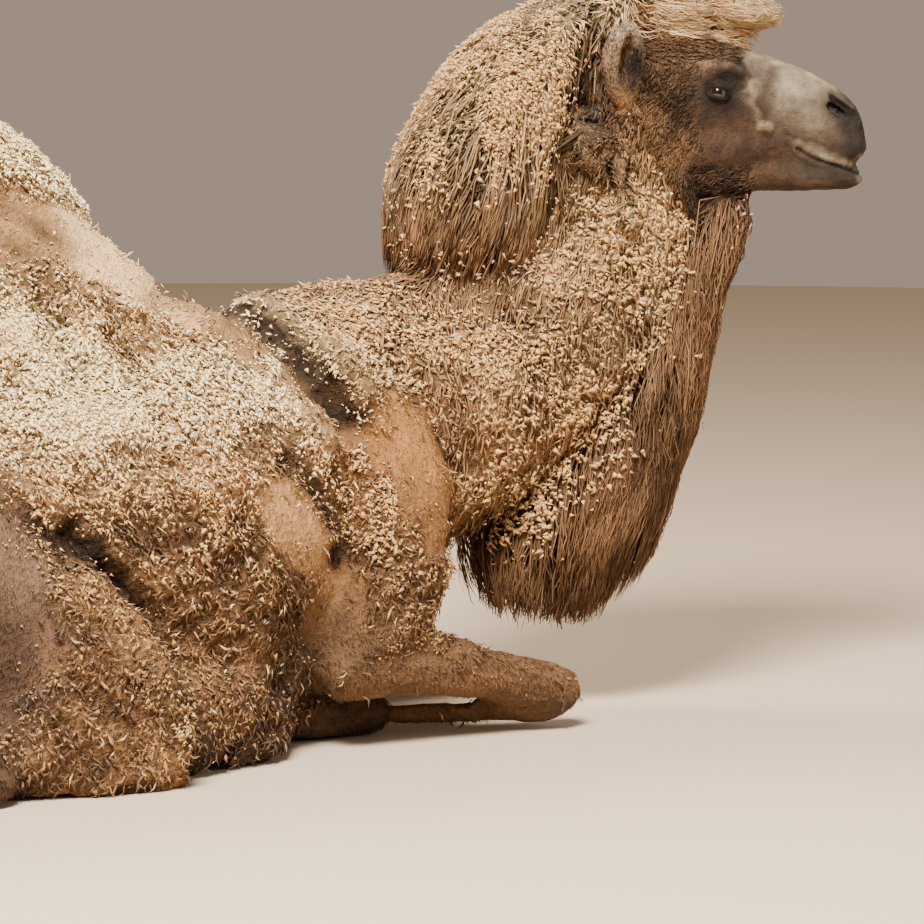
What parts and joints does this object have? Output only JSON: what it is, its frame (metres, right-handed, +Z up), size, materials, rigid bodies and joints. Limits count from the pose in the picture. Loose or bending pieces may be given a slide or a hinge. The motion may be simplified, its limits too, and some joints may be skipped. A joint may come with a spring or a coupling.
{
  "type": "bactrian camel",
  "caption": "Adult bactrian camel lying on its folded legs with its head raised and turned, in a shaggy moulting coat with a full nape mane and beard.",
  "frame": {"origin": "middle of the bounding box's base, on the floor", "axes": "+X towards the camel's front, +Y to its left, +Z up"},
  "size_m": [2.7312, 1.031, 1.4477],
  "materials": {
    "wool": "matted moulting wool with pale flecks",
    "long_hair": "long coarse hair",
    "face": "short smooth hair over bare grey lips and nose",
    "foot": "callused pad under short hair",
    "eye": "wet and glossy"
  },
  "bodies": {
    "root": {"beard": "long_hair", "crown_tuft": "long_hair", "ear_left": "face", "ear_right": "face", "eye_left": "eye", "eye_right": "eye", "forefoot_left": "foot", "forefoot_right": "foot", "foreleg_left": "wool", "foreleg_right": "wool", "head": "face", "hindfoot_left": "foot", "hindfoot_right": "foot", "hindleg_left": "wool", "hindleg_right": "wool", "hump_front": "wool", "hump_rear": "wool", "mane": "long_hair", "neck": "wool", "tail": "long_hair", "trunk": "wool"}
  },
  "joints": []
}
